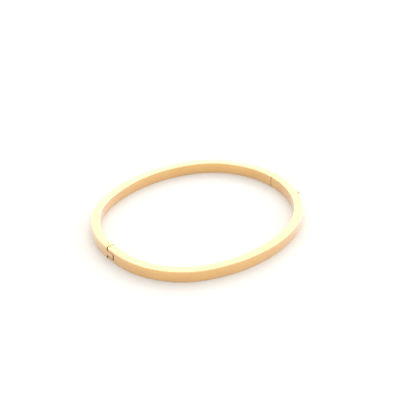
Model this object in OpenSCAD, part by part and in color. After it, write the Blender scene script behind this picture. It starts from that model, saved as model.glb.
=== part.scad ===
// Plain hinged bangle: an oval band of polished gold in two halves. A flush hinge
// of three knuckles joins them at one end. At the other end a flat tongue on the
// back half slides into the hollow end of the front half, which has a small push
// button on its outer wall. All sizes are millimetres.
// The bangle lies flat with the middle of its underside at the origin, the hinge
// at the -X end, the clasp at the +X end and the front half on the -Y side.

/* [Band] */
// Thickness of the band, from its inner wall to its outer wall
band_t = 2.5; // [2.4:0.1:3]
// Height of the band
band_h = 3.5; // [3.3:0.1:4.5]
// Radius of the band's rounded edges
edge_r = 0.25; // [0.1:0.05:0.4]

/* [Oval] */
// Radius of the two long sides, at the middle of the band
side_r = 41; // [41:0.5:44]
// Half of the oval's width, at the middle of the band
half_width = 25.7; // [25.7:0.1:27]
// Distance from the widest place to the hinge end, at the middle of the band
hinge_reach = 29.8; // [28.8:0.2:30.8]
// Distance from the widest place to the clasp end, at the middle of the band
clasp_reach = 30.8; // [29.8:0.2:30.8]

/* [Hinge] */
// Radius of the rounded knuckle ends, about the pin
knuckle_r = 1.7; // [1.6:0.1:1.9]
// Height of the top and the bottom knuckle, which belong to the front half
knuckle_h = 0.85; // [0.75:0.05:1]
// Gap between the flat faces of the knuckles
knuckle_gap = 0.1; // [0.08:0.01:0.15]
// Gap around the rounded knuckle ends
knuckle_room = 0.3; // [0.2:0.05:0.4]
// Diameter of the hinge pin
pin_d = 1; // [0.8:0.1:1.2]
// Metal over the upper end of the pin, which hides it
pin_cover = 0.4; // [0.3:0.05:0.6]

/* [Clasp] */
// Distance of the seam from the long axis, on the side of the back half
seam_y = 0.85; // [0.5:0.05:1.2]
// Gap at the seam when the bangle is closed
seam_gap = 0.1; // [0.08:0.01:0.2]
// Thickness of the inner and outer wall of the hollow end
box_wall = 0.5; // [0.4:0.05:0.6]
// Thickness of the floor and the roof of the hollow end
box_floor = 0.6; // [0.5:0.05:0.7]
// Thickness of the tongue
tongue_t = 0.5; // [0.4:0.05:0.5]
// Height of the tongue
tongue_h = 1.9; // [1.6:0.1:2]
// Length of the tongue inside the hollow end
tongue_reach = 6; // [4:0.5:6]
// Length of the tongue's root inside the back half
tongue_root = 3.5; // [2:0.5:4]

/* [Push button] */
// Angle from the long axis to the button, about the middle of the end arc
button_angle = 19.3; // [16:0.1:21]
// Diameter of the button
button_d = 1.3; // [1.1:0.1:1.5]
// How far the button stands out of the outer wall
button_out = 1.4; // [0.8:0.1:1.5]
// Diameter of the collar that keeps the button in the wall
collar_d = 1.8; // [1.7:0.1:2]
// Thickness of the collar
collar_t = 0.3; // [0.2:0.05:0.4]

/* [Hidden] */
$fn = 128;

GOLD = [0.93, 0.76, 0.5];
DEEP_GOLD = [0.86, 0.65, 0.36];

// The arcs meet on lines that slope 5 along for 12 across, the sides of a right
// triangle with a long side of 13, so that every arc centre is an exact number.
ALONG = 5;
ACROSS = 12;
SLANT = 13;

// How many such triangles, and how many millimetres, reach past the bangle
far_steps = 5;
far = ACROSS * far_steps;
over = 1;

centre_x = (hinge_reach - clasp_reach) / 2;
hinge_x = centre_x - hinge_reach;
clasp_x = centre_x + clasp_reach;
side_centre_y = side_r - half_width;

// The end arc's scale on the sloping line, its radius, the place of its centre
// and half the length of the straight stretch between the two arcs of one end
function scale_of(reach) = (side_r - reach) / (SLANT - ALONG);
function end_r(reach) = side_r - SLANT * scale_of(reach);
function end_offset(reach) = ALONG * scale_of(reach);
function end_flat(reach) = ACROSS * scale_of(reach) - side_centre_y;

// Shorter than this, a straight stretch is left out
tiny = 0.001;

// Room around the pin in the front half's knuckles and in the middle knuckle, and
// below its lower end
pin_fit = 0.03;
pin_run = 0.05;
pin_recess = 0.05;

// Room around the tongue's root, length of its narrowed tip, and how far its
// outer face lies inside the middle of the band
tongue_fit = 0.04;
tongue_tip = 0.5;
tongue_inset = 0.05;

// Where the hollow ends, as an angle like the button's
hollow_angle = 27;

// Room around the button, and between its collar and the wall
button_run = 0.07;
collar_gap = 0.1;

mid_z = band_h / 2;
clasp_end_x = centre_x + end_offset(clasp_reach);
clasp_end_y = -end_flat(clasp_reach);
clasp_end_r = end_r(clasp_reach);

// Section of the band about its middle: a rectangle with rounded corners
module section(t, h, r) {
    if (r > 0) {
        square([t - 2 * r, h], center = true);
        square([t, h - 2 * r], center = true);
        for (x = [-1, 1], z = [-1, 1])
            translate([x * (t / 2 - r), z * (h / 2 - r)]) circle(r);
    } else {
        square([t, h], center = true);
    }
}

// One arc of the band: a full ring, cut to the wedge between two directions that
// are given as [x, y] steps from the ring's centre
module arc(centre, radius, from, to, t, h, r) {
    translate([centre[0], centre[1], mid_z])
        intersection() {
            rotate_extrude() translate([radius, 0]) section(t, h, r);
            translate([0, 0, -h])
                linear_extrude(2 * h)
                    polygon([[0, 0], from * far_steps, (from + to) * far_steps, to * far_steps]);
        }
}

// One end of the oval, with side -1 for the hinge and 1 for the clasp: an arc on
// each half, and the straight stretch between them
module end_arcs(side, reach, t, h, r) {
    flat = end_flat(reach);
    for (half = [-1, 1])
        arc([centre_x + side * end_offset(reach), half * flat], end_r(reach),
            [side * ACROSS, 0], [side * ALONG, half * ACROSS], t, h, r);
    if (flat > tiny)
        translate([centre_x + side * reach, flat, mid_z])
            rotate([90, 0, 0]) linear_extrude(2 * flat) section(t, h, r);
}

// The whole oval, without its seams
module oval_band(t, h, r) {
    end_arcs(-1, hinge_reach, t, h, r);
    end_arcs(1, clasp_reach, t, h, r);
    for (half = [-1, 1])
        arc([centre_x, -half * side_centre_y], side_r,
            [-ALONG, half * ACROSS], [ALONG, half * ACROSS], t, h, r);
}

// Everything on one side of the two seams: half -1 is the front, 1 the back
module half_side(half, seam) {
    translate([0, 0, -over])
        linear_extrude(band_h + 2 * over)
            polygon([[-far, half * far], [far, half * far], [far, seam], [0, seam], [0, 0], [-far, 0]]);
}

module at_pin(from_z, to_z, r) {
    translate([hinge_x, 0, from_z]) cylinder(r = r, h = to_z - from_z);
}

// The top and bottom knuckles. Where they are cut out, they are made larger by the
// gap on their flat faces and by the room around them.
module outer_knuckles(gap, room) {
    at_pin(-over, knuckle_h + gap, knuckle_r + room);
    at_pin(band_h - knuckle_h - gap, band_h + over, knuckle_r + room);
}

module middle_knuckle(gap, room) {
    low = knuckle_h + knuckle_gap - gap;
    at_pin(low, band_h - low, knuckle_r + room);
}

// The hollow in the front half's end, open at the seam
module tongue_box() {
    mouth = seam_y + over - clasp_end_y;
    intersection() {
        oval_band(band_t - 2 * box_wall, band_h - 2 * box_floor, 0);
        translate([clasp_end_x, clasp_end_y])
            linear_extrude(band_h)
                polygon([[0, mouth], [far, mouth], [far, -far * tan(hollow_angle)], [0, 0]]);
    }
}

// The slot in the back half's end that holds the root of the tongue
module tongue_slot() {
    slot = [tongue_t, 0, tongue_h] + 2 * [tongue_fit, 0, tongue_fit];
    translate([clasp_x - tongue_inset + tongue_fit - slot[0], seam_y, mid_z - slot[2] / 2])
        cube(slot + [0, seam_gap + tongue_root + tongue_fit, 0]);
}

// Puts a shape that points along +Z at the button, pointing out of the band
module at_button(distance) {
    translate([clasp_end_x, clasp_end_y, mid_z])
        rotate([0, 90, -button_angle]) translate([0, 0, distance]) children();
}

// The half with the outer knuckles, the hollow end and the button's hole
module front_half() {
    color(GOLD)
        difference() {
            intersection() {
                oval_band(band_t, band_h, edge_r);
                union() {
                    half_side(-1, seam_y);
                    outer_knuckles(0, 0);
                }
            }
            middle_knuckle(knuckle_gap, knuckle_room);
            at_pin(-over, band_h - pin_cover, pin_d / 2 + pin_fit);
            tongue_box();
            at_button(clasp_end_r) cylinder(d = button_d + 2 * button_run, h = band_t);
        }
}

// The half with the middle knuckle and the slot for the tongue
module back_half() {
    color(GOLD)
        difference() {
            intersection() {
                oval_band(band_t, band_h, edge_r);
                union() {
                    difference() {
                        half_side(1, seam_y + seam_gap);
                        outer_knuckles(knuckle_gap, knuckle_room);
                    }
                    middle_knuckle(0, 0);
                }
            }
            at_pin(-over, band_h + over, pin_d / 2 + pin_run);
            tongue_slot();
        }
}

// A round pin, pushed in from below and hidden under the top knuckle's skin
module hinge_pin() {
    color(DEEP_GOLD) at_pin(pin_recess, band_h - pin_cover - pin_recess, pin_d / 2);
}

// A flat tongue with its tip narrowed on both sides, so that it finds the box
module clasp_tongue() {
    root_y = seam_y + seam_gap + tongue_root;
    tip_y = seam_y - tongue_reach;
    narrow = tongue_t / 4;
    outside = clasp_x - tongue_inset;
    inside = outside - tongue_t;
    color(DEEP_GOLD)
        translate([0, 0, mid_z - tongue_h / 2])
            linear_extrude(tongue_h)
                polygon([[inside, root_y], [inside, tip_y + tongue_tip], [inside + narrow, tip_y],
                         [outside - narrow, tip_y], [outside, tip_y + tongue_tip], [outside, root_y]]);
}

// A round button with a domed end, and a collar behind the wall
module push_button() {
    collar_out = band_t / 2 - box_wall - collar_gap;
    collar_in = collar_out - collar_t;
    dome = button_d / 5;
    stem_end = band_t / 2 + button_out - dome;
    color(DEEP_GOLD)
        at_button(clasp_end_r)
            rotate_extrude() {
                translate([0, collar_in]) square([collar_d / 2, collar_t]);
                translate([0, collar_in]) square([button_d / 2, stem_end - collar_in]);
                translate([0, stem_end - dome]) square([button_d / 2 - dome, 2 * dome]);
                translate([button_d / 2 - dome, stem_end]) circle(dome);
            }
}

front_half();
back_half();
hinge_pin();
clasp_tongue();
push_button();
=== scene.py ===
import math

import bmesh
import bpy
from mathutils import Euler, Matrix, Vector


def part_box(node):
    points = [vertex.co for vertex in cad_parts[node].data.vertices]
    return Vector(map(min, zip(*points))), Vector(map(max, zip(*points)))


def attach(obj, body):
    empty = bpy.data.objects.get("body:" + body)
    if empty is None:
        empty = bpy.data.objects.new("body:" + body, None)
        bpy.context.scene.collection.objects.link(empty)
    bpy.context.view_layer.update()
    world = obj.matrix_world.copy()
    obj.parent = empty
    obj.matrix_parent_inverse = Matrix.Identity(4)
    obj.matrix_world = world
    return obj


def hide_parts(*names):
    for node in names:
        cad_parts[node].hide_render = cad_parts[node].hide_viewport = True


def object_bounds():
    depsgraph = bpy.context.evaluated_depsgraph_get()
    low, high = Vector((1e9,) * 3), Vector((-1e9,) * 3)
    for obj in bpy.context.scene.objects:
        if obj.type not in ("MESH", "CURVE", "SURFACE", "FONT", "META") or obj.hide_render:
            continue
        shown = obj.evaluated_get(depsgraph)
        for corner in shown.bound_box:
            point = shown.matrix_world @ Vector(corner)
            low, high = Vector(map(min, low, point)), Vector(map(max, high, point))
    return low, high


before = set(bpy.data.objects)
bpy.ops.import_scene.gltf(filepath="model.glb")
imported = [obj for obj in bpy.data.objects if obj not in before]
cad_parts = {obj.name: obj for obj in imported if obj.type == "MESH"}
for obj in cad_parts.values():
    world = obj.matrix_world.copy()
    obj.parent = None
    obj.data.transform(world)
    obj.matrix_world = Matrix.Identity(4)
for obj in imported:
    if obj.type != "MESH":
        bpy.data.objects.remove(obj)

cad_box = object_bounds()


# Front half: a bar of solid yellow gold with softened edges, bent to half of the
# oval and polished. Two knuckles are sawn at its hinge end. Its clasp end is a
# hollow box, and the button's hole is drilled in the outer wall there.
MM = 0.001
DEGREE = math.radians(1)
front_low, front_high = (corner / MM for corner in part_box("front_half"))
back_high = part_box("back_half")[1] / MM
BAND_T = 2.5
BAND_H = front_high.z
EDGE_R = 0.25
HINGE_X = front_low.x + BAND_T / 2
CLASP_X = front_high.x - BAND_T / 2
HALF_WIDTH = back_high.y - BAND_T / 2
SIDE_R = 41.0
CENTRE_X = -0.5
OVAL = {
    "Centre": CENTRE_X, "Side Radius": SIDE_R, "Half Width": HALF_WIDTH,
    "Hinge Reach": CENTRE_X - HINGE_X, "Clasp Reach": CLASP_X - CENTRE_X,
}

# The arcs of the oval meet on lines that slope 5 along for 12 across
ALONG, ACROSS, SLANT = 5, 12, 13

KNUCKLE_R = 1.7
KNUCKLE_H = 0.85
KNUCKLE_ROOM = 0.3
PIN_D = 1.0
PIN_FIT = 0.03
PIN_COVER = 0.4
SEAM_Y = 0.85
BOX_WALL = 0.5
BOX_FLOOR = 0.6
BOX_EDGE_R = 0.1
BUTTON_TURN = -19.3 * DEGREE
BUTTON_D = 1.3
BUTTON_RUN = 0.07

# The arc that the band follows at the clasp, about a centre on the long axis
clasp_step = (SIDE_R - OVAL["Clasp Reach"]) / (SLANT - ALONG)
CLASP_R = SIDE_R - SLANT * clasp_step
CLASP_CENTRE = Vector((CENTRE_X + ALONG * clasp_step, 0, BAND_H / 2))
TOWARDS_BUTTON = Euler((0, math.pi / 2, BUTTON_TURN))

# Turns in degrees, counted from the clasp: where the bar of a half ends at the hinge
# and at the seam before it is cut, and where the hollow starts and ends
HINGE_END = 179.5
SEAM_END = 2.5
BOX_START = -27
BOX_END = 3.5

# How far a cutting tool reaches past the band, and how near two points are the same
PAST = 1
SAME_POINT = 0.035

SOCKET_KINDS = {
    float: "NodeSocketFloat", int: "NodeSocketInt", tuple: "NodeSocketVector",
    str: "NodeSocketGeometry",
}


def plug(tree, socket, value):
    if isinstance(value, Wire):
        tree.links.new(value.socket, socket)
    elif isinstance(value, bpy.types.NodeSocket):
        tree.links.new(value, socket)
    else:
        socket.default_value = value


def add(tree, kind, values=(), **settings):
    """A new node with these settings, and these values or links on its inputs."""
    made = tree.nodes.new(kind)
    for name, value in settings.items():
        setattr(made, name, value)
    for name, value in dict(values).items():
        plug(tree, made.inputs[name], value)
    return made


class Wire:
    """A number in a node tree. Arithmetic on it adds Math nodes to the tree."""

    def __init__(self, tree, socket):
        self.tree = tree
        self.socket = socket

    def math(self, operation, *others):
        made = add(self.tree, "ShaderNodeMath", operation=operation)
        for socket, value in zip(made.inputs, (self, *others)):
            plug(self.tree, socket, value)
        return Wire(self.tree, made.outputs[0])

    def __add__(self, other):
        return self.math("ADD", other)

    def __sub__(self, other):
        return self.math("SUBTRACT", other)

    def __rsub__(self, other):
        return self.math("MULTIPLY_ADD", -1, other)

    def __mul__(self, other):
        return self.math("MULTIPLY", other)

    def __truediv__(self, other):
        return self.math("DIVIDE", other)

    __radd__ = __add__
    __rmul__ = __mul__

    def towards(self, other, share):
        """This number where share is 0, and the other one where it is 1."""
        return (other - self) * share + self

    def ramp(self, low, high):
        """Rises smoothly from 0 at low to 1 at high."""
        made = add(self.tree, "ShaderNodeMapRange", {"From Min": low, "From Max": high},
                   interpolation_type="SMOOTHSTEP")
        plug(self.tree, made.inputs["Value"], self)
        return Wire(self.tree, made.outputs["Result"])


def point(tree, x, y, z):
    return add(tree, "ShaderNodeCombineXYZ", {"X": x, "Y": y, "Z": z}).outputs[0]


def parts(tree, vector):
    split = add(tree, "ShaderNodeSeparateXYZ", {"Vector": vector})
    return [Wire(tree, socket) for socket in split.outputs]


def new_tree(kind, name, inputs, outputs):
    """A node tree, its inputs as wires by name, and its output node."""
    tree = bpy.data.node_groups.new(name, kind)
    for label, value in inputs.items():
        made = tree.interface.new_socket(
            label, in_out="INPUT", socket_type=SOCKET_KINDS[type(value)])
        made.default_value = value
    for label, value in outputs.items():
        tree.interface.new_socket(
            label, in_out="OUTPUT", socket_type=SOCKET_KINDS[type(value)])
    given = tree.nodes.new("NodeGroupInput")
    wires = {label: Wire(tree, given.outputs[label]) for label in inputs}
    return tree, wires, tree.nodes.new("NodeGroupOutput")


def oval_arc(size, right, back, on_side, sideways=None):
    """The centre and radius of one arc of the oval. right and back are 1 or -1, and
    on_side is 1 on the two long sides. sideways is |y| where a point may lie beside
    the short straight stretch at the hinge."""
    side_y = size["Side Radius"] - size["Half Width"]
    reach = size["Hinge Reach"].towards(size["Clasp Reach"], right.math("GREATER_THAN", 0))
    step = (size["Side Radius"] - reach) / (SLANT - ALONG)
    flat = step * ACROSS - side_y
    if sideways is not None:
        flat = flat.math("MINIMUM", sideways)
    x = (size["Centre"] + right * step * ALONG).towards(size["Centre"], on_side)
    y = (back * flat).towards(back * side_y * -1, on_side)
    return x, y, (size["Side Radius"] - step * SLANT).towards(size["Side Radius"], on_side)


def make_oval_bar():
    """A bar of rounded rectangular section that follows the oval between two turns."""
    tree, size, out = new_tree("GeometryNodeTree", "oval_bar", {
        "From": 0.0, "To": math.pi, "Steps": 180, "Thickness": BAND_T, "Height": BAND_H,
        "Middle": BAND_H / 2, "Edge Radius": EDGE_R, "Edge Steps": 6, **OVAL}, {"Bar": ""})
    line = add(tree, "GeometryNodeCurvePrimitiveLine")
    stops = add(tree, "GeometryNodeResampleCurve", {
        "Curve": line.outputs[0], "Count": size["Steps"] + 1})
    share = Wire(tree, add(tree, "GeometryNodeSplineParameter").outputs["Factor"])
    turn = size["From"].towards(size["To"], share)
    # The row nearest to the hinge lies past it, so that no row crosses the knuckles
    at_hinge = turn.math("ABSOLUTE").math("GREATER_THAN", math.pi - DEGREE)
    turn = turn + turn.math("SIGN") * at_hinge * 2 * DEGREE
    cosine = turn.math("COSINE")
    sine = turn.math("SINE")
    on_side = cosine.math("ABSOLUTE").math("LESS_THAN", ALONG / SLANT)
    x, y, radius = oval_arc(size, cosine.math("SIGN"), sine.math("SIGN"), on_side)
    place = point(tree, x + radius * cosine, y + radius * sine, size["Middle"])
    path = add(tree, "GeometryNodeSetPosition", {"Geometry": stops.outputs[0], "Position": place})
    upright = add(tree, "GeometryNodeSetCurveNormal", {"Curve": path.outputs[0]}, mode="Z_UP")
    plain = add(tree, "GeometryNodeCurvePrimitiveQuadrilateral", {
        "Width": size["Thickness"], "Height": size["Height"]})
    section = add(tree, "GeometryNodeFilletCurve", {
        "Curve": plain.outputs[0], "Count": size["Edge Steps"], "Radius": size["Edge Radius"]},
        mode="POLY")
    bar = add(tree, "GeometryNodeCurveToMesh", {
        "Curve": upright.outputs[0], "Profile Curve": section.outputs[0], "Fill Caps": True})
    plug(tree, out.inputs["Bar"], bar.outputs[0])
    return tree


oval_bar = make_oval_bar()


def bar(tree, values):
    return add(tree, "GeometryNodeGroup", values, node_tree=oval_bar).outputs[0]


def shifted(tree, geometry, place, turn=(0, 0, 0)):
    return add(tree, "GeometryNodeTransform", {
        "Geometry": geometry, "Translation": point(tree, *place), "Rotation": turn}).outputs[0]


def post(tree, radius, low, high):
    """An upright cylinder on the hinge's axis."""
    made = add(tree, "GeometryNodeMeshCylinder", {
        "Vertices": 96, "Radius": radius, "Depth": high - low})
    return shifted(tree, made.outputs[0], (HINGE_X, 0, (high + low) / 2))


def slot(tree, radius, low, high, side):
    """A post whose side towards +Y or -Y runs on past the end of the band."""
    y = parts(tree, add(tree, "GeometryNodeInputPosition").outputs[0])[1]
    outer = (y * side).math("GREATER_THAN", SAME_POINT)
    return add(tree, "GeometryNodeSetPosition", {
        "Geometry": post(tree, radius, low, high),
        "Offset": point(tree, 0, outer * side * 2 * BAND_T, 0)}).outputs[0]


def block(tree, low, high):
    size = point(tree, *(b - a for a, b in zip(low, high)))
    made = add(tree, "GeometryNodeMeshCube", {"Size": size})
    return shifted(tree, made.outputs[0], [(a + b) / 2 for a, b in zip(low, high)])


def cut(tree, whole, *tools):
    made = add(tree, "GeometryNodeMeshBoolean", {"Mesh 1": whole},
               operation="DIFFERENCE", solver="EXACT")
    for tool in tools:
        tree.links.new(tool, made.inputs["Mesh 2"])
    return made.outputs["Mesh"]


def unpolished_and_shaded(tree, tool):
    """A cutting tool whose cut stays rough as the saw leaves it. Its cut faces take the dark gold,
    which is painted shade for the gaps that they line.
    """
    return add(tree, "GeometryNodeStoreNamedAttribute", {
        "Geometry": tool, "Name": "sawn", "Value": True}, data_type="BOOLEAN", domain="FACE").outputs[0]


def beyond_knuckle(tree, radius, side):
    """All that lies past a rounded knuckle end, on the side towards +Y or -Y."""
    reach = sorted((side * BAND_T / 4, side * 3 * BAND_T))
    stretch = block(tree, (HINGE_X - 2 * BAND_T, reach[0], -PAST),
                    (HINGE_X + 2 * BAND_T, reach[1], BAND_H + PAST))
    return cut(tree, stretch, post(tree, radius, -2 * PAST, BAND_H + 2 * PAST))


def finish_half(tree, size, out, half):
    """Stores at each point how far it lies out from the band's middle line and how
    far up, in mm and as shares of the way to the edges. Gives the half its gold, and
    its sawn faces the dark gold that is painted shade for the gaps."""
    whole = add(tree, "GeometryNodeMergeByDistance", {"Geometry": half, "Distance": SAME_POINT})
    x, y, z = parts(tree, add(tree, "GeometryNodeInputPosition").outputs[0])
    from_centre = x - size["Centre"]
    side_y = size["Side Radius"] - size["Half Width"]
    away = y.math("ABSOLUTE")
    on_side = (from_centre.math("ABSOLUTE") * ACROSS).math("LESS_THAN", (away + side_y) * ALONG)
    arc_x, arc_y, radius = oval_arc(size, from_centre.math("SIGN"), y.math("SIGN"), on_side, away)
    dx = x - arc_x
    dy = y - arc_y
    across = (dx * dx + dy * dy).math("SQRT") - radius
    up = z - BAND_H / 2
    shares = (across / (BAND_T / 2), up / (BAND_H / 2))
    stored = whole
    for name, pair in (("section", (across, up)), ("to_edge", shares)):
        stored = add(tree, "GeometryNodeStoreNamedAttribute", {
            "Geometry": stored.outputs[0], "Name": name, "Value": point(tree, *pair, 0)},
            data_type="FLOAT_VECTOR", domain="POINT")
    real = add(tree, "GeometryNodeRealizeInstances", {"Geometry": stored.outputs[0]})
    dressed = add(tree, "GeometryNodeSetMaterial", {"Geometry": real.outputs[0], "Material": band_gold})
    sawn = add(tree, "GeometryNodeInputNamedAttribute", {"Name": "sawn"}, data_type="BOOLEAN")
    dressed = add(tree, "GeometryNodeSetMaterial", {
        "Geometry": dressed.outputs[0], "Selection": sawn.outputs[0], "Material": gap_shade_gold})
    plug(tree, out.inputs["Half"], dressed.outputs[0])
    return tree


def noise(tree, vector, **values):
    made = add(tree, "ShaderNodeTexNoise", {
        "Vector": vector, **{name.replace("_", " "): value for name, value in values.items()}},
        noise_dimensions="4D" if "W" in values else "3D")
    return Wire(tree, made.outputs[0])


def make_polishing_lines():
    """The faint lines that the polishing wheel leaves along a piece."""
    tree, given, out = new_tree("ShaderNodeTree", "polishing_lines", {
        "Place": (0, 0, 0), "Section": (0, 0, 0), "Lines per mm": 12.0, "Waves per mm": 0.12},
        {"Lines": 0.0})
    x, y, z = parts(tree, given["Place"])
    across, up = parts(tree, given["Section"])[:2]
    slow = given["Waves per mm"]
    fine = given["Lines per mm"]
    lines = noise(tree, point(tree, x * slow, y * slow, across * fine), W=up * fine,
                  Scale=1, Detail=3, Roughness=0.6)
    plug(tree, out.inputs["Lines"], lines)
    return tree


# Scratches lie in patches: how far these are drawn out, and the noise they start
# and are whole at
PATCH_STRETCH = 0.7
PATCHES = (0.5, 0.62)


def make_hairlines():
    """Fine scratches that wearing leaves, long along one direction. Apart is in mm,
    Width is a share of it, and a lower Stretch draws them out longer."""
    tree, given, out = new_tree("ShaderNodeTree", "hairlines", {
        "Place": (0, 0, 0), "Turn": (0, 0, 0), "Apart": 1.2, "Width": 0.008, "Stretch": 0.2},
        {"Mark": 0.0})
    turned = add(tree, "ShaderNodeVectorRotate", {
        "Vector": given["Place"], "Rotation": given["Turn"]}, rotation_type="EULER_XYZ")
    x, y, z = (wire / given["Apart"] for wire in parts(tree, turned.outputs[0]))
    cells = add(tree, "ShaderNodeTexVoronoi", {
        "Vector": point(tree, x * given["Stretch"], y, z), "Scale": 1}, feature="DISTANCE_TO_EDGE")
    line = 1 - Wire(tree, cells.outputs["Distance"]).ramp(0, given["Width"])
    kept = noise(tree, point(tree, x * PATCH_STRETCH, y, z), Scale=1, Detail=0)
    plug(tree, out.inputs["Mark"], line * kept.ramp(*PATCHES))
    return tree


def make_wear_and_highlight_edge():
    """Where wearing has smoothed the edges of a piece, unevenly, from 0 to 1. The gold also uses this
    share to turn its edges paler, as a painted highlight.
    """
    tree, given, out = new_tree("ShaderNodeTree", "wear_and_highlight_edge", {
        "Place": (0, 0, 0), "To Edge": (0, 0, 0), "Reach": 0.22}, {"Wear And Highlight": 0.0})
    across, up = parts(tree, given["To Edge"])[:2]
    edge = across.math("ABSOLUTE").math("MINIMUM", up.math("ABSOLUTE"))
    patches = noise(tree, given["Place"], Scale=0.7, Detail=2, Roughness=0.6)
    start = 1 - given["Reach"] * (patches + 0.5)
    plug(tree, out.inputs["Wear And Highlight"], edge.ramp(start, 1))
    return tree


polishing_lines = make_polishing_lines()
hairlines = make_hairlines()
wear_and_highlight_edge = make_wear_and_highlight_edge()

# Where the noise of the drift and of the lines turns from pale to deep, and the
# share of the tone that the lines give
DRIFT_TURN = (0.3, 0.7)
LINE_TURN = (0.35, 0.65)
LINE_TINT = 0.4

# How much rougher the marks are, and how much smoother wear leaves the edges
MARK_ROUGH = 0.06
WORN_SMOOTH = 0.05

# How high the lines stand and how deep the marks are, in mm
LINE_HEIGHT = 0.0006
MARK_DEPTH = 0.0001

# The two directions that the hairlines run in, and how far apart they are in mm
MARKS = (((0.3, 0.2, 0.7), 1.2), ((1.1, 0.5, 2.2), 0.6))

# The clear coat, and the haze that the polish leaves
COAT_ROUGH = 0.2
COAT_IOR = 1.5
HAZE = 0.38


def make_gold(name, pale, deep, rubbed_highlight, rough, line_rough, lines_per_mm, coat=1, haze=HAZE):
    """Gold whose tone drifts a little between pale and deep. Polishing lines and
    hairlines break up its gloss, and wear leaves its edges smoother. The edges are
    also painted paler, as a painted highlight. A thin clear coat gives it its
    highlights, and a soft haze lifts it where light falls."""
    material = bpy.data.materials.new(name)
    material.use_nodes = True
    tree = material.node_tree
    metal = tree.nodes["Principled BSDF"]
    metal.inputs["Metallic"].default_value = 1
    metal.inputs["Coat Weight"].default_value = coat
    metal.inputs["Coat Roughness"].default_value = COAT_ROUGH
    metal.inputs["Coat IOR"].default_value = COAT_IOR
    metal.inputs["Sheen Weight"].default_value = haze
    metal.inputs["Sheen Roughness"].default_value = 1
    metres = add(tree, "ShaderNodeTexCoord").outputs["Object"]
    place = add(tree, "ShaderNodeVectorMath", {
        "Vector": metres, "Scale": 1 / MM}, operation="SCALE").outputs[0]
    section = add(tree, "ShaderNodeAttribute", attribute_name="section").outputs["Vector"]
    to_edge = add(tree, "ShaderNodeAttribute", attribute_name="to_edge").outputs["Vector"]

    def group(made, output, **values):
        inputs = {label.replace("_", " "): value for label, value in values.items()}
        placed = add(tree, "ShaderNodeGroup", {"Place": place, **inputs}, node_tree=made)
        return Wire(tree, placed.outputs[output])

    lines = group(polishing_lines, "Lines", Section=section, Lines_per_mm=lines_per_mm)
    wear_and_highlight = group(wear_and_highlight_edge, "Wear And Highlight", To_Edge=to_edge)
    wide, close = (group(hairlines, "Mark", Turn=turn, Apart=apart) for turn, apart in MARKS)
    marks = wide.math("MAXIMUM", close)
    drift = noise(tree, place, Scale=0.11, Detail=2, Roughness=0.5).ramp(*DRIFT_TURN)
    tone = drift.towards(lines.ramp(*LINE_TURN), LINE_TINT)
    colour = (*pale, 1)
    # Towards the edges the colour turns paler: a painted highlight, not a colour the gold has
    for share, other in ((tone, deep), (wear_and_highlight, rubbed_highlight)):
        mixed = add(tree, "ShaderNodeMix", data_type="RGBA")
        for socket, value in zip((mixed.inputs["Factor"], mixed.inputs[6], mixed.inputs[7]),
                                 (share, colour, (*other, 1))):
            plug(tree, socket, value)
        colour = mixed.outputs[2]
    plug(tree, metal.inputs["Base Color"], colour)
    lines_rough = (lines - 0.5) * line_rough * 2
    roughness = lines_rough + marks * MARK_ROUGH - wear_and_highlight * WORN_SMOOTH + rough
    plug(tree, metal.inputs["Roughness"], roughness)
    height = lines * LINE_HEIGHT - marks * MARK_DEPTH
    bump = add(tree, "ShaderNodeBump", {"Strength": 1, "Distance": MM, "Height": height})
    plug(tree, metal.inputs["Normal"], bump.outputs[0])
    return material


# Sawn faces and the broken edges of the cuts line the gaps of the hinge and seams. This gold is
# darkened there as painted shade for those gaps, and is rough as cut.
gap_shade_gold = make_gold("gap_shade_gold", pale=(0.3, 0.16, 0.05), deep=(0.22, 0.11, 0.03),
                      rubbed_highlight=(0.3, 0.16, 0.05), rough=0.55, line_rough=0.2, lines_per_mm=25,
                      coat=0, haze=0)
# Its paler edge colour is a painted highlight
band_gold = make_gold("band_gold", pale=(0.86, 0.475, 0.085), deep=(0.79, 0.41, 0.045),
                      rubbed_highlight=(0.95, 0.7, 0.4), rough=0.2, line_rough=0.12, lines_per_mm=12)


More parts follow.
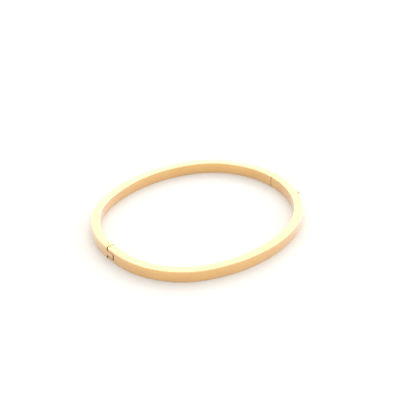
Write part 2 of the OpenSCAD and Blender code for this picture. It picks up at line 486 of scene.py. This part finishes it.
def make_front_half():
    """The half with the outer knuckles, the hollow end and the button's hole."""
    tree, size, out = new_tree("GeometryNodeTree", "front_half", {
        "Knuckle Radius": KNUCKLE_R, "Knuckle Height": KNUCKLE_H, "Knuckle Room": KNUCKLE_ROOM,
        "Pin Hole": PIN_D / 2 + PIN_FIT, "Seam": SEAM_Y, "Box Wall": BOX_WALL,
        "Box Floor": BOX_FLOOR, "Box Turn": BOX_START * DEGREE,
        "Button Hole": BUTTON_D / 2 + BUTTON_RUN, **OVAL}, {"Half": ""})
    # The bars have a row of points for each degree
    whole = bar(tree, {"From": -HINGE_END * DEGREE, "To": SEAM_END * DEGREE,
                       "Steps": int(HINGE_END + SEAM_END)})
    hollow = bar(tree, {
        "From": size["Box Turn"], "To": BOX_END * DEGREE, "Steps": int(BOX_END - BOX_START),
        "Thickness": BAND_T - 2 * size["Box Wall"], "Height": BAND_H - 2 * size["Box Floor"],
        "Edge Radius": BOX_EDGE_R, "Edge Steps": 2})
    seam = block(tree, (CLASP_X - 2 * BAND_T, size["Seam"], -PAST),
                 (CLASP_X + 2 * BAND_T, size["Seam"] + 2 * BAND_T, BAND_H + PAST))
    drill = add(tree, "GeometryNodeMeshCylinder", {
        "Vertices": 64, "Radius": size["Button Hole"], "Depth": BAND_T})
    outward = TOWARDS_BUTTON.to_matrix() @ Vector((0, 0, CLASP_R + BAND_T / 2))
    button_hole = shifted(tree, drill.outputs[0], CLASP_CENTRE + outward, TOWARDS_BUTTON)
    half = cut(
        tree, whole,
        unpolished_and_shaded(tree, beyond_knuckle(tree, size["Knuckle Radius"], 1)),
        unpolished_and_shaded(tree, slot(tree, size["Knuckle Radius"] + size["Knuckle Room"],
                              size["Knuckle Height"], BAND_H - size["Knuckle Height"], 1)),
        post(tree, size["Pin Hole"], -PAST, BAND_H - PIN_COVER),
        unpolished_and_shaded(tree, seam))
    half = cut(tree, half, unpolished_and_shaded(tree, hollow))
    half = cut(tree, half, button_hole)
    return finish_half(tree, size, out, half)


# The least angle in degrees between two faces whose edge is broken
SHARP = 35


def soften(maker, width, finish=-1):
    """Rounds a piece's sharp edges a little, and keeps its flat faces flat. The
    rounded edges take the material slot that finish names, if it names one."""
    bevel = maker.modifiers.new("soft_edges", "BEVEL")
    bevel.material = finish
    bevel.width = width
    bevel.segments = 3
    bevel.limit_method = "ANGLE"
    bevel.angle_limit = SHARP * DEGREE
    bevel.use_clamp_overlap = False
    bevel.loop_slide = False
    weighted = maker.modifiers.new("flat_faces", "WEIGHTED_NORMAL")
    weighted.keep_sharp = True


def plain_mesh(maker):
    """Turns what a piece's modifiers give into its own plain mesh."""
    depsgraph = bpy.context.evaluated_depsgraph_get()
    mesh = bpy.data.meshes.new_from_object(
        maker.evaluated_get(depsgraph), preserve_all_data_layers=True, depsgraph=depsgraph)
    maker.modifiers.clear()
    maker.data = mesh
    mesh.name = maker.name


def new_piece(name, mesh):
    piece = bpy.data.objects.new(name, mesh)
    bpy.context.scene.collection.objects.link(piece)
    return piece


# How wide the broken edges of the cuts are
BAND_BREAK = 0.04


def make_half(name, tree, body, node):
    """A half of the band, made by its tree, softened and put on its body."""
    half = new_piece(name, bpy.data.meshes.new(name))
    shape = half.modifiers.new("shape", "NODES")
    shape.node_group = tree
    for socket in tree.interface.items_tree:
        if socket.in_out == "INPUT":
            shape[socket.identifier] = socket.default_value
    plain_mesh(half)
    # The first slot is the empty one that the cutting tools start with
    half.data.materials.pop(index=0)
    # The broken edges of the cuts take the dark gold too: painted shade along the rims of the gaps
    soften(half, BAND_BREAK, finish=half.data.materials.find(gap_shade_gold.name))
    plain_mesh(half)
    half.data.transform(Matrix.Scale(MM, 4))
    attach(half, body)
    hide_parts(node)


make_half("front_band", make_front_half(), "front", "front_half")


# Back half: the same gold bar, bent to the other half of the oval. The middle
# knuckle of the hinge is sawn at one end, between cuts that clear the outer two.
# A slot in its other end holds the root of the clasp's tongue.
JOINT_GAP = 0.1
BACK_END = 1.5
PIN_RUN = 0.05
TONGUE_T = 0.5
TONGUE_H = 1.9
TONGUE_FIT = 0.04
TONGUE_INSET = 0.05
TONGUE_ROOT = 3.5


def make_back_half():
    """The half with the middle knuckle and the slot for the tongue."""
    tree, size, out = new_tree("GeometryNodeTree", "back_half", {
        "Knuckle Radius": KNUCKLE_R, "Knuckle Height": KNUCKLE_H, "Knuckle Room": KNUCKLE_ROOM,
        "Joint Gap": JOINT_GAP, "Pin Hole": PIN_D / 2 + PIN_RUN, "Seam": SEAM_Y + JOINT_GAP,
        "Slot Width": TONGUE_T + 2 * TONGUE_FIT, "Slot Height": TONGUE_H + 2 * TONGUE_FIT,
        "Slot Depth": TONGUE_ROOT + TONGUE_FIT, **OVAL}, {"Half": ""})
    whole = bar(tree, {"From": BACK_END * DEGREE, "To": HINGE_END * DEGREE,
                       "Steps": int(HINGE_END - BACK_END)})
    seam = block(tree, (CLASP_X - 2 * BAND_T, size["Seam"] - 2 * BAND_T, -PAST),
                 (CLASP_X + 2 * BAND_T, size["Seam"], BAND_H + PAST))
    cleared = size["Knuckle Radius"] + size["Knuckle Room"]
    low = size["Knuckle Height"] + size["Joint Gap"]
    half = cut(
        tree, whole,
        unpolished_and_shaded(tree, beyond_knuckle(tree, size["Knuckle Radius"], -1)),
        unpolished_and_shaded(tree, slot(tree, cleared, -PAST, low, -1)),
        unpolished_and_shaded(tree, slot(tree, cleared, BAND_H - low, BAND_H + PAST, -1)),
        post(tree, size["Pin Hole"], -PAST, BAND_H + PAST),
        unpolished_and_shaded(tree, seam))
    outside = CLASP_X - TONGUE_INSET + TONGUE_FIT
    mouth = block(tree, (outside - size["Slot Width"], 0, BAND_H / 2 - size["Slot Height"] / 2),
                  (outside, size["Seam"] + size["Slot Depth"], BAND_H / 2 + size["Slot Height"] / 2))
    half = cut(tree, half, mouth)
    return finish_half(tree, size, out, half)


make_half("back_band", make_back_half(), "back", "back_half")


# Hinge pin: a round gold wire, cut to length with its ends broken, and pushed up
# through the knuckles from below. It stays in the front half's knuckles, and the
# back half turns on it.
TURNED_STEPS = 64
PIN_BREAK = 0.08
pin_low, pin_high = (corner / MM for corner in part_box("hinge_pin"))
# Its paler edge colour is a painted highlight
fittings_gold = make_gold("fittings_gold", pale=(0.85, 0.465, 0.085), deep=(0.78, 0.4, 0.045),
                          rubbed_highlight=(0.9, 0.58, 0.22), rough=0.24, line_rough=0.16, lines_per_mm=18)


def turned(name, outline):
    """A piece turned on a lathe. Its outline goes round the Z axis, in steps of how
    far out and how far along from one end of the axis to the other."""
    mesh = bmesh.new()
    corners = [mesh.verts.new((out, 0, along)) for out, along in outline]
    line = [mesh.edges.new(pair) for pair in zip(corners, corners[1:])]
    bmesh.ops.spin(mesh, geom=corners + line, axis=(0, 0, 1), cent=(0, 0, 0),
                   angle=2 * math.pi, steps=TURNED_STEPS, use_merge=True)
    bmesh.ops.remove_doubles(mesh, verts=mesh.verts, dist=MM)
    bmesh.ops.recalc_face_normals(mesh, faces=mesh.faces)
    made = bpy.data.meshes.new(name)
    mesh.to_mesh(made)
    mesh.free()
    return new_piece(name, made)


def finish_fitting(piece, width, section, edges, place, body, node):
    """Softens a fitting's edges, puts it in its place and gives it its finish, which
    follows its section. edges is how far out and along its edges are."""
    soften(piece, width)
    plain_mesh(piece)
    pairs = [section(corner.co) for corner in piece.data.vertices]
    for name, unit in (("section", (1, 1)), ("to_edge", edges)):
        stored = piece.data.attributes.new(name, "FLOAT_VECTOR", "POINT")
        for value, (out, along) in zip(stored.data, pairs):
            value.vector = (out / unit[0], along / unit[1], 0)
    piece.data.transform(Matrix.Scale(MM, 4) @ place)
    piece.data.materials.append(fittings_gold)
    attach(piece, body)
    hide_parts(node)


def turned_section(middle):
    """For a turned piece: how far out a point is, and how far along from the middle."""
    def section(place):
        return place.xy.length, place.z - middle
    return section


pin_length = pin_high.z - pin_low.z
pin = turned("pin", [(0, 0), (PIN_D / 2, 0), (PIN_D / 2, pin_length), (0, pin_length)])
finish_fitting(pin, PIN_BREAK, turned_section(pin_length / 2), (PIN_D / 2, pin_length / 2),
               Matrix.Translation((HINGE_X, 0, pin_low.z)), "front", "hinge_pin")


# Tongue: a flat gold plate, pressed into its slot in the back half's end. It slides
# into the hollow end of the front half as the bangle closes, and its tip is
# narrowed on both faces so that it finds the way in.
TIP_LENGTH = 0.5
TIP_NARROWED = TONGUE_T / 4
TONGUE_BREAK = 0.06
tongue_low, tongue_high = (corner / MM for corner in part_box("clasp_tongue"))


def tongue_section(place):
    """How far a point of the tongue is across its thickness and up its height."""
    return place.x, place.z


def make_tongue():
    """A plate on the Y axis, with its narrowed tip at the -Y end."""
    length = tongue_high.y - tongue_low.y
    wide = TONGUE_T / 2
    mesh = bmesh.new()
    ends = [(wide - TIP_NARROWED, -length / 2), (wide, TIP_LENGTH - length / 2), (wide, length / 2)]
    outline = ends + [(-x, y) for x, y in reversed(ends)]
    sheet = mesh.faces.new([mesh.verts.new((x, y, -TONGUE_H / 2)) for x, y in outline])
    raised = bmesh.ops.extrude_face_region(mesh, geom=[sheet])["geom"]
    corners = [item for item in raised if isinstance(item, bmesh.types.BMVert)]
    bmesh.ops.translate(mesh, vec=(0, 0, TONGUE_H), verts=corners)
    bmesh.ops.recalc_face_normals(mesh, faces=mesh.faces)
    made = bpy.data.meshes.new("tongue")
    mesh.to_mesh(made)
    mesh.free()
    return new_piece("tongue", made)


finish_fitting(make_tongue(), TONGUE_BREAK, tongue_section, (TONGUE_T / 2, TONGUE_H / 2),
               Matrix.Translation((tongue_low + tongue_high) / 2), "back", "clasp_tongue")


# Push button: a small gold stud with a domed end, turned in one piece with the
# collar that keeps it behind the outer wall. Pressing it frees the tongue.
BUTTON_OUT = 1.4
BUTTON_DOME = BUTTON_D / 5
COLLAR_D = 1.8
COLLAR_T = 0.3
COLLAR_GAP = 0.1
BUTTON_BREAK = 0.03
DOME_STEPS = 8


def make_button():
    """A stud on the Z axis. Its heights count from the band's middle line."""
    collar_out = BAND_T / 2 - BOX_WALL - COLLAR_GAP
    collar_in = collar_out - COLLAR_T
    neck = BUTTON_D / 2 - BUTTON_DOME
    shoulder = BAND_T / 2 + BUTTON_OUT - BUTTON_DOME
    dome = [(neck + BUTTON_DOME * math.cos(turn), shoulder + BUTTON_DOME * math.sin(turn))
            for turn in (step * math.pi / 2 / DOME_STEPS for step in range(DOME_STEPS + 1))]
    stud = turned("button", [(0, collar_in), (COLLAR_D / 2, collar_in), (COLLAR_D / 2, collar_out),
                             (BUTTON_D / 2, collar_out)] + dome + [(0, shoulder + BUTTON_DOME)])
    at_wall = Matrix.Translation(CLASP_CENTRE) @ TOWARDS_BUTTON.to_matrix().to_4x4()
    finish_fitting(stud, BUTTON_BREAK, turned_section(BAND_T / 2), (BUTTON_D / 2, BUTTON_OUT),
                   at_wall @ Matrix.Translation((0, 0, CLASP_R)), "button", "push_button")


make_button()


# Studio: a plain floor of slightly warm white paper in a pale room. A bright soft
# light behind the bangle shows in its top face. A wide dim one behind it, one at its
# right and one overhead fill in. The camera has the photograph's angle.
FLOOR_REACH = 3
FLOOR_WHITE = (0.86, 0.84, 0.8)
corners = ((-1, -1), (1, -1), (1, 1), (-1, 1))
floor = new_piece("floor", bpy.data.meshes.new("floor"))
floor.data.from_pydata(
    [(x * FLOOR_REACH, y * FLOOR_REACH, cad_box[0][2]) for x, y in corners],
    [], [range(len(corners))])
white = bpy.data.materials.new("floor_white")
white.use_nodes = True
matt = white.node_tree.nodes["Principled BSDF"]
matt.inputs["Base Color"].default_value = (*FLOOR_WHITE, 1)
matt.inputs["Roughness"].default_value = 1
matt.inputs["Specular IOR Level"].default_value = 0
floor.data.materials.append(white)

ROOM_GLOW = 0.92
world = bpy.data.worlds.new("studio")
world.use_nodes = True
bpy.context.scene.world = world
world.node_tree.nodes["Background"].inputs["Color"].default_value = (1, 1, 1, 1)
world.node_tree.nodes["Background"].inputs["Strength"].default_value = ROOM_GLOW


def look(turn, tilt, roll, aim, distance):
    """A place at this distance from aim, turned about Z and tilted above the floor,
    that looks at aim."""
    facing = Euler((math.pi / 2 - tilt, 0, turn)).to_matrix() @ Matrix.Rotation(roll, 3, "Z")
    return Matrix.Translation(aim + facing @ Vector((0, 0, distance))) @ facing.to_4x4()


VIEW_TURN = -39.68 * DEGREE
LIGHT_FAR = 1.2


def hang_light(name, turn, tilt, width, height, strength):
    """A flat soft light that faces the bangle, turned from straight behind it as the
    camera sees it, in degrees. Its strength is how bright its face is."""
    data = bpy.data.lights.new(name, "AREA")
    data.shape = "RECTANGLE"
    data.size = width
    data.size_y = height
    data.energy = strength * math.pi * width * height
    lamp = bpy.data.objects.new(name, data)
    bpy.context.scene.collection.objects.link(lamp)
    behind = VIEW_TURN + math.pi + turn * DEGREE
    lamp.matrix_world = look(behind, tilt * DEGREE, 0, Vector((0, 0, 0)), LIGHT_FAR)


hang_light("key", turn=0, tilt=31, width=0.75, height=0.65, strength=2.3)
hang_light("back_wall", turn=-10, tilt=32, width=4.4, height=1.4, strength=0.45)
hang_light("right_side", turn=-62, tilt=20, width=1.6, height=0.8, strength=1.1)
hang_light("overhead", turn=0, tilt=80, width=1.4, height=1.4, strength=0.45)

VIEW_TILT = 32.68 * DEGREE
VIEW_ROLL = 0.53 * DEGREE
VIEW_FAR = 0.3449
VIEW_AIM = Vector((0.0074, 0.0085, 0))
LENS = 103.84
SENSOR = 36
camera = bpy.data.objects.new("camera", bpy.data.cameras.new("camera"))
bpy.context.scene.collection.objects.link(camera)
camera.data.lens = LENS
camera.data.sensor_width = SENSOR
camera.data.clip_start = 0.01
camera.matrix_world = look(VIEW_TURN, VIEW_TILT, VIEW_ROLL, VIEW_AIM, VIEW_FAR)
bpy.context.scene.camera = camera
bpy.context.scene.view_settings.view_transform = "Standard"
